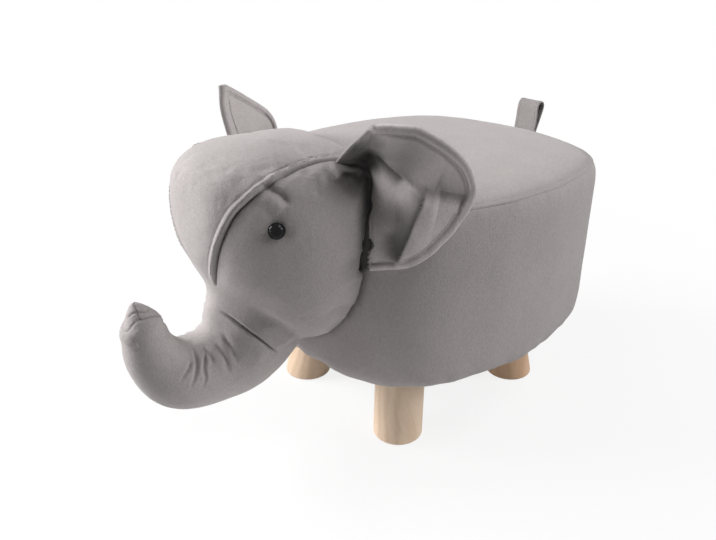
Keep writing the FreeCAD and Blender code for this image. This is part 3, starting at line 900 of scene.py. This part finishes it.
def shadeRoot(head, flip, shade):
    # painted shade on the cheek, darker towards the ear's root
    points = flip(readPoints(head))
    paintedShade = easeStep(points @ np.array(earAcross), *shade["soft"]) ** 2 * (points[:, 0] > shade["inner"])
    paintedShade *= easeStep(points[:, 2], *shade["low"]) * (1 - easeStep(points[:, 2], *shade["high"]))
    paintedShade *= easeStep(flip(readNormals(head)) @ np.array(earFront), *shade["turn"])
    paintShade(head, slice(None), paintedShade)


def pressHead(head, form):
    surface = surfaceOf(head)
    for side, flip, name in bothSides:
        seam, dart = [layOn(surface, line)[0] for line in headLines(form, side)]
        pressAlong(head, seam, 0.02, seamBand(form["seamBand"], side), paintedShadeGain=150.0)
        pressAlong(head, dart, 0.025, crease(*form["dartCrease"]), paintedShadeGain=130.0)
        for *size, fold in form["folds"]:
            depth, width, swell = metres(size)
            fold = lineOn(surface, flip(metres(fold)))
            pressAlong(head, fold, 0.016, crease(depth, width, form["foldFades"], swell), paintedShadeGain=50.0)
        root = lineOn(surface, metres(form["earRoot"][name]))
        pressAlong(head, root, 0.02, crease(*form["earRootCrease"]))
        for part in ("flap", "cheek"):
            under = lineOn(surface, flip(form[part + "Shade"]))
            paintShadeAlong(head, under, form["shadeDepth"], *form[part + "Width"])
        shadeRoot(head, flip, form["rootShade"])
    surface = surfaceOf(head)
    for run in form["tipSeams"]:
        for side, flip, name in bothSides:
            line = lineOn(surface, flip(metres(run)), 0.0006)
            pressAlong(head, line, 0.006, crease(*form["tipCrease"]), paintedShadeGain=900.0)
    height, width, offset = form["tipSwell"]
    for side, flip, name in bothSides:  # the trunk swells below its end seam
        line = lineOn(surface, flip(metres(form["tipSeams"][0])), 0.0006)
        pressAlong(head, line, 0.02, ridge(height, width, offset * side), paintedShadeGain=0.0)


headSkin = formHead(headSettings)
pressHead(headSkin, headSettings)
print("head ready:", len(headSkin.data.polygons))


def finishHead(head, form):
    points = readPoints(head)
    normals = readNormals(head)
    depth, width = form["eyePull"]
    for side in ("left", "right"):  # the stem pulls the cloth in round each eye
        low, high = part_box(side + "_eye")
        away = lengths(points - np.array((low + high) / 2))
        points -= normals * (depth * hump(away, width))[:, None]
    writePoints(head, points)
    surface = surfaceOf(head)
    rows = []
    for side, flip, name in bothSides:
        line, up = layOn(surface, headLines(form, side)[0])
        inner = line - np.cross(up, unit(np.gradient(line, axis=0))) * side * form["seamBand"]["stitch"][2]
        rows.append(stitchRow(name + "BandStitches", *layOn(surface, smoothLine(inner[6:-14:8]), 0.0001)))
    amount, width = form["contactShade"]
    for piece in (sideCover, seatCover):  # painted shade where seat and head press together
        away = np.array([surface.find_nearest(v.co, 0.02)[3] or 0.02 for v in piece.data.vertices])
        paintShade(piece, slice(None), amount * hump(away, width))
    wear(head, greyCloth)
    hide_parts("head_stuffing", "trunk_stuffing", "forehead_panel", "left_face_panel",
                "right_face_panel", "head_back_panel", "left_trunk_panel", "right_trunk_panel",
                "trunk_end_panel")
    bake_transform(head)
    for row in rows:
        wear(row, seamThread)
        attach(row, "stool")


finishHead(headSkin, headSettings)
print("head finished")


# Ears

# an ear's spots are a place across it and a height; its known points have their way to the front as well
earSettings = {
    "hub": (0.02, 0.3), "rings": 84, "around": 360,
    "frontEdge": metres([(-26, 304, 107.5), (-9.3, 328.8, 131), (4.1, 345.5, 149.5)]),
    "rim": metres([
        (4.1, 345.5, 149.5), (13.3, 346.5, 150.5), (21.7, 346.4, 151.5), (31.6, 346.3, 152.5),
        (40.8, 344.9, 153), (54.1, 337.9, 152.5), (64.6, 331.2, 151), (74.9, 322.2, 147), (82.6, 312.3, 141),
        (88.3, 300.2, 134), (91.8, 286.7, 127), (90.8, 277.1, 127), (86.7, 270.2, 130), (75, 252.2, 132.5),
        (65.3, 241.8, 134), (54.6, 231.3, 135.5), (39.6, 222.3, 134.5), (25.2, 217.2, 132), (5.3, 212.4, 127),
        (-2, 212, 124)]),
    "root": metres([
        (-2, 212, 124), (-3, 230, 126), (-3.5, 255, 125.5), (-4, 280, 113), (-6, 296, 99), (-15, 299, 98.5),
        (-26, 304, 107.5)]),
    "inside": metres([
        (38.7, 262, 135), (32.3, 240, 137), (38.5, 280, 129), (38.6, 300, 121.7), (36.7, 316, 128.7),
        (30, 332, 144)]),
    # creases: from, to, lift and how fast it falls off on the left and right of the way from one to the other
    "creases": [
        ((47.1, 282.5), (24.5, 224), 9.5, 4.2, 17), ((15.3, 306.9), (47.1, 282.5), 3, 12, 4),
        ((59.4, 286.9), (83.7, 281.8), -4.2, 16, 9), ((4.5, 342), (1, 310.5), -5, 5, 6)],
    # shadows: from, to, how fast it fades on the left of the way and the amount
    "shadows": [
        ((48.5, 286), (24.5, 224), 11.5, 0.97), ((7.4, 313), (31, 294.9), 10, 0.93)],
    "hollows": [((5, 310), 13, -6), ((32, 264), 11, -6), ((23, 247), 10, -6)],  # spot, width and lift
    "paintedShadeSpots": [
        ((1, 308), 15, 1.0), ((-8, 319), 17, 0.8), ((8, 326), 11, 0.55), ((32, 315), 28, 0.46),
        ((7, 303), 11, 0.8), ((10, 262), 18, 0.25), ((40, 278), 7, 0.3)],  # spots of painted shade: spot, width and amount
    "tuck": {"depth": 0.0015, "edge": 0.0036, "top": 0.298,
             "gathers": [(0.2715, 0.006, 0.0026), (0.2384, 0.005, 0.004)]},
    "half": 0.0024, "band": 0.008, "bandHalf": 0.0034, "plainHalf": 0.0019, "leastHalf": 0.0007,
    "round": 0.0008, "edgeRipple": (0.012, 61, 0.0007), "ripple": (0.03, 63, 0.0006),
    "edgeShade": (0.55, 0.003),
    # topstitching: the run it follows, the steps left free at its ends and how much shade is painted in its
    # groove
    "stitches": {"Edge": (0, 60, 40, 0.15), "Rim": (1, 30, 60, 0.5)}, "bends": (0.008, 0.034)}

# the far ear lies further back and its front edge is sewn on lower
rightEarSettings = dict(
    earSettings, hub=(0.02, 0.285),
    frontEdge=metres([(-22.5, 289, 133), (-10, 322.5, 144.4), (4.1, 343.6, 148.7)]),
    rim=metres([
        (4.1, 343.6, 148.7), (13.3, 342.9, 146.6), (21.7, 338, 142.4), (31.6, 331.2, 136.4),
        (40.8, 324.4, 131), (54.1, 315.6, 124.4), (64.6, 307.6, 118.9), (74.9, 298.8, 116.5),
        (82.6, 289.9, 115), (88.3, 281.8, 115), (92.5, 274, 118), (91.5, 264, 124), (86, 256, 128.5),
        (75, 242, 132), (65.3, 233, 134), (54.6, 225, 135), (39.6, 218, 134.5), (25.2, 214, 132),
        (5.3, 211, 126), (-2, 211, 122)]),
    root=metres([(-2, 211, 122), (-3, 230, 120), (-3.5, 255, 116), (-6, 274, 114), (-22.5, 289, 133)]),
    inside=metres([(37, 262, 127), (35, 240, 133), (38, 290, 118), (25, 315, 129)]),
    creases=[((10, 290), (60, 278), 2, 8, 8), ((50, 275), (25, 225), 3, 6, 20)],
    hollows=[((10, 298), 12, -3)], shadows=[],
    # painted shade over the far ear's whole lining, taking the lighter ear cloth back down where the key lamp
    # lights it
    paintedShadeSpots=[((35, 280), 1000, 0.38)],
    tuck={"depth": 0.0015, "edge": 0.0036, "top": 0.268, "gathers": [(0.245, 0.006, 0.0024)]})


def earHeight(form):
    # a thin plate bent through the ear's known points
    known = np.vstack([form["frontEdge"], form["rim"][1:-1], form["root"][:-1], form["inside"]])
    count = len(known)

    def kernel(a):
        r = np.linalg.norm(a[:, None, :2] - known[None, :, :2], axis=2)
        return r ** 2 * np.log(np.maximum(r, 1e-9))

    flat = np.c_[np.ones(count), known[:, :2]]
    whole = np.block([[kernel(known) + np.eye(count) * 2e-5, flat], [flat.T, np.zeros((3, 3))]])
    weights = np.linalg.solve(whole, np.r_[known[:, 2], 0, 0, 0])
    return lambda spots: kernel(spots) @ weights[:count] + np.c_[np.ones(len(spots)), spots] @ weights[count:]


def beside(spots, a, b):
    # how far a spot is to the right of the way from a to b, and how much of a crease is left there
    a, b = metres(a), metres(b)
    length = np.linalg.norm(b - a)
    way = (b - a) / length
    along = (spots - a) @ way / length
    off = way[0] * (spots[:, 1] - a[1]) - way[1] * (spots[:, 0] - a[0])
    return off, easeStep(along, -0.12, 0.1) * (1 - easeStep(along, 0.85, 1.15))


def tucked(spots, tuck):
    # the root runs in behind the cheek, with a gathered edge
    edge = tuck["edge"]
    for spot, width, swell in tuck["gathers"]:
        edge = edge + swell * hump(spots[:, 1] - spot, width)
    inside = 1 - easeStep(spots[:, 0], edge - 0.0014, edge)
    return inside * (1 - easeStep(spots[:, 1], tuck["top"] - 0.008, tuck["top"] + 0.004))


def makeEar(side, form):
    across, front, upward = np.array(earAcross), np.array(earFront), np.array((0, 0, 1.0))
    height = earHeight(form)
    runs = [smoothLine(form[run][:, :2], 0.0002) for run in ("frontEdge", "rim", "root")]
    outline = np.vstack([run[:-1] for run in runs])
    ring = np.vstack([outline, outline[:1]])
    way = distances(ring)
    tree = treeOf(np.c_[outline, np.zeros(len(outline))])
    hub = np.array(form["hub"])
    band = form["band"]

    def folded(spots):
        z = height(spots)
        for a, b, *fold in form["creases"]:
            lift, leftFall, rightFall = metres(fold)
            off, ends = beside(spots, a, b)
            fall = np.sqrt(off ** 2 + form["round"] ** 2) - form["round"]
            z = z + lift * ends * np.exp(-fall / np.where(off > 0, rightFall, leftFall))
        for spot, *size in form["hollows"]:
            width, lift = metres(size)
            z = z + lift * hump(lengths(spots - metres(spot)), width)
        return z - form["tuck"]["depth"] * tucked(spots, form["tuck"])

    def lifted(spots, z):
        return across * spots[:, :1] + upward * spots[:, 1:] + front * z[:, None]

    def place(u, v):
        # v runs from the middle of the lining, over the rim, to the middle of the back
        face = np.where(v < 0.5, 1.0, -1.0)
        share = 1 - (1 - np.where(v < 0.5, v * 2, 2 - v * 2)) ** 1.15
        edge = columns(*[np.interp((u % 1.0) * way[-1], way, column) for column in ring.T])
        spots = hub + (edge - hub) * share[:, None]
        z = folded(spots)
        step = 0.0004
        slopeS = (folded(spots + (step, 0)) - z) / step
        slopeZ = (folded(spots + (0, step)) - z) / step
        base = lifted(spots, z)
        normal = front - across * slopeS[:, None] - upward * slopeZ[:, None]
        normal /= lengths(normal)[:, None]
        found = np.array([tree.find((*p, 0))[1:] for p in spots])
        away = np.where(share > 1 - 1e-9, 0, found[:, 1])
        turned = len(runs[0])  # the front edge is turned in flat
        plain = 1 - easeStep(found[:, 0], turned - 90, turned + 60)
        # a rolled rim, its stitched groove and the flatter middle
        roll = np.sqrt(np.clip(1 - (1 - np.clip(away / band * 2, 0, 2)) ** 2, 0, 1))
        roll = roll * form["bandHalf"] * (1 - 0.4 * plain)
        flat = form["half"] * easeStep(away, band - 0.0012, band + 0.003)
        flat = np.maximum(flat, plain * form["plainHalf"] * np.sqrt(np.clip(away / 0.002, 0, 1)))
        half = np.maximum(np.maximum(roll, flat), form["leastHalf"] * (away > 0))
        wave = ripples(base, form["edgeRipple"]) * hump(away - band, 0.008)
        wave += ripples(base, form["ripple"])
        return base + normal * (face * half + wave * np.clip(away / 0.004, 0, 1))[:, None]

    ear = gridPiece(side + "Ear", form["around"], 2 * form["rings"], place)
    surface = surfaceOf(ear)
    rows = []
    for label, (number, first, last, dark) in form["stitches"].items():
        along = np.gradient(runs[number], axis=0)
        inward = columns(along[:, 1], -along[:, 0]) / lengths(along)[:, None]
        spots = (runs[number] + inward * (band + 0.0004))[first:-last:16]
        for face, turned in ((1, "Front"), (-1, "Back")):
            raised = lifted(spots, folded(spots) + face * 0.004)
            line, up = layOn(surface, smoothLine(raised), 0.0001)
            rows.append(stitchRow("%sEar%s%s" % (side, label, turned), line, up))
            # painted shade in the stitch groove
            paintShadeAlong(ear, line, dark, 0.0011)
    points = readPoints(ear)
    spots = columns(points @ across, points[:, 2])
    lining = points @ front > folded(spots)  # shade is painted on the lining only, not on the ear's back
    edge = np.min(np.linalg.norm(spots[:, None] - runs[0][None, ::8], axis=2), axis=1)
    amount, width = form["edgeShade"]
    # painted shade: black in the tucked root, along the front edge, in spots and beside the creases
    paintedShade = np.maximum(tucked(spots, form["tuck"]), amount * hump(edge, width))
    for spot, width, amount in form["paintedShadeSpots"]:
        paintedShade = np.maximum(paintedShade, lining * amount * hump(lengths(spots - metres(spot)), metres(width)))
    for a, b, fade, amount in form["shadows"]:
        off, ends = beside(spots, a, b)
        fall = np.where(off > 0, off / 0.001, (off / metres(fade)) ** 2)
        paintedShade = np.maximum(paintedShade, lining * amount * ends * np.exp(-fall))
    paintShade(ear, slice(None), paintedShade)
    sign = 1 if side == "left" else -1
    if sign < 0:
        for piece in [ear] + rows:
            writePoints(piece, mirrorX(readPoints(piece)))
            piece.data.flip_normals()
    wear(ear, paintedLightEarCloth)
    for row in rows:
        wear(row, seamThread)
    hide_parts(side + "_ear_pad", side + "_ear_lining", side + "_ear_back")
    for piece in [ear] + rows:
        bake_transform(piece)
    return ear


leftEar = makeEar("left", earSettings)
rightEar = makeEar("right", rightEarSettings)
print("ears ready:", len(leftEar.data.polygons), len(rightEar.data.polygons))


# Tail loop

tailSettings = {
    "width": 0.03, "thick": 0.0019, "lean": 15.0, "root": (0.256, 0.267), "grid": (26, 110),
    "loop": metres([
        (-1.4, -8), (-1.6, 0), (-3, 12), (-5.2, 23.5), (-5, 29), (-2.6, 32.2), (0.4, 32.9), (3.4, 31.8),
        (5.3, 28.6), (5.4, 23.5), (3.2, 12), (1.6, 0), (1.4, -8)]),  # y and z of the strap's path
    "ripple": (0.02, 71, 0.0006), "stitchInset": 0.0035,
    "thread": dict(threadLook, pitch=0.0032, length=0.0024, radius=0.00036)}


def makeTail(form):
    path = smoothLine(form["loop"], 0.0006)
    lean = math.radians(form["lean"])
    rootY, rootZ = form["root"]

    def place(u, v):
        y, z = rowsAt(path, v)
        x = (u - 0.5) * form["width"]
        y = y + ripples(columns(x, y, z), form["ripple"])
        x = x * (1 - 0.05 * easeStep(z, 0.01, 0.03))
        return columns(x, rootY + y * math.cos(lean) + z * math.sin(lean),
                       rootZ + z * math.cos(lean) - y * math.sin(lean))

    strap = gridPiece("tailStrap", *form["grid"], place)
    applyModifier(strap, "SOLIDIFY", thickness=form["thick"], offset=0.0)
    applyModifier(strap, "BEVEL", width=0.0006, segments=2, limit_method="ANGLE")
    surface = surfaceOf(strap)
    rows = []
    for side in (-1, 1):
        x = np.full(len(path), side * (form["width"] / 2 - form["stitchInset"]))
        bent = place(x / form["width"] + 0.5, np.linspace(0, 1, len(path)))
        way = np.gradient(bent, axis=0)
        outward = unit(columns(0 * way[:, 0], way[:, 2], -way[:, 1]))
        for face in (1, -1):
            row = smoothLine((bent - outward * face * 0.002)[14:-14:5], 0.0009)
            rows.append(stitchRow("tailStitches%d%d" % (side + 1, face + 1), *layOn(surface, row, 0.00005),
                                  form["thread"]))
    shadeSmooth(strap)
    wear(strap, paintedShadeStrapCloth)
    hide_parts("tail_loop")
    for row in rows:
        wear(row, seamThread)
    for piece in [strap] + rows:
        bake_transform(piece)


makeTail(tailSettings)


# Underside

dustSettings = {"scale": 0.935, "height": 0.088, "thick": 0.0006, "grid": (180, 60),
                "ripple": (0.05, 81, 0.0004)}


def makeDustCover(form):
    def place(u, v):
        flat = ovalPoints(u * math.tau - math.pi, form["scale"] * v, form["height"])
        flat[:, 2] += ripples(flat, form["ripple"]) * (1 - v ** 6)
        return flat

    sheet = gridPiece("dustCloth", *form["grid"], place)
    applyModifier(sheet, "SOLIDIFY", thickness=form["thick"], offset=0.0)
    shadeSmooth(sheet)
    wear(sheet, blackCloth)
    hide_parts("dust_cover")
    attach(sheet, "stool")


makeDustCover(dustSettings)
print("underside ready")


# Carried-over nodes

# painted shade, lean, grain's place and knot of each leg; legs further under the body, the far front leg under
# the trunk most, get darker wood as painted shade
legLooks = {"front_left_leg": ((1.0, 1.0, 1.0), (-0.158, 0.135, 0), (0.0, 0.0, 0.0), (0.0, 0.0, 0.03)),
            "front_right_leg": ((0.74, 0.72, 0.7), (-0.158, -0.135, 0), (0.31, 0.0, 0.0), (0.235, 0.02, 0.04)),
            "rear_left_leg": ((0.86, 0.74, 0.64), (0.158, 0.135, 0), (0.0, 0.27, 0.0), (0.1, 0.4, 0.06)),
            "rear_right_leg": ((0.84, 0.78, 0.72), (0.158, -0.135, 0), (0.18, 0.41, 0.0), (0.3, 0.3, 0.1))}


def dressNodes():
    for leg, look in legLooks.items():
        wear(nodes[leg], woodMaterial(leg + "Wood", woodLook, *look))
    steel = scuffedMaterial("zincSteel", (0.62, 0.63, 0.65), 0.7, 420.0, 4.0, (0.28, 0.25), Metallic=1.0)
    black = scuffedMaterial("polishedBlack", (0.006, 0.006, 0.007), 1.6, 180.0, 3.0, (0.07, 0.06),
                            Specular_IOR_Level=0.12)
    pine = boardMaterial("planedPine", (0.7, 0.5, 0.29), (0.55, 0.35, 0.18))
    looks = {"eye": black, "screws": steel, "bolts": steel, "nuts": steel, "staples": steel, "block": pine,
             "eye_washer": spongeMaterial("mouldedWasher", (0.8, 0.8, 0.78), (0.72, 0.72, 0.7), 900.0),
             "board": boardMaterial("plywood", (0.66, 0.46, 0.27), (0.47, 0.29, 0.15)),
             "side_hoop": boardMaterial("hardboard", (0.19, 0.1, 0.05), (0.13, 0.065, 0.03))}
    for name, node in nodes.items():
        if name.startswith("frame_post"):
            wear(node, pine)
        for ending, look in looks.items():
            if name.endswith(ending):
                wear(node, look)


dressNodes()
print("nodes dressed")
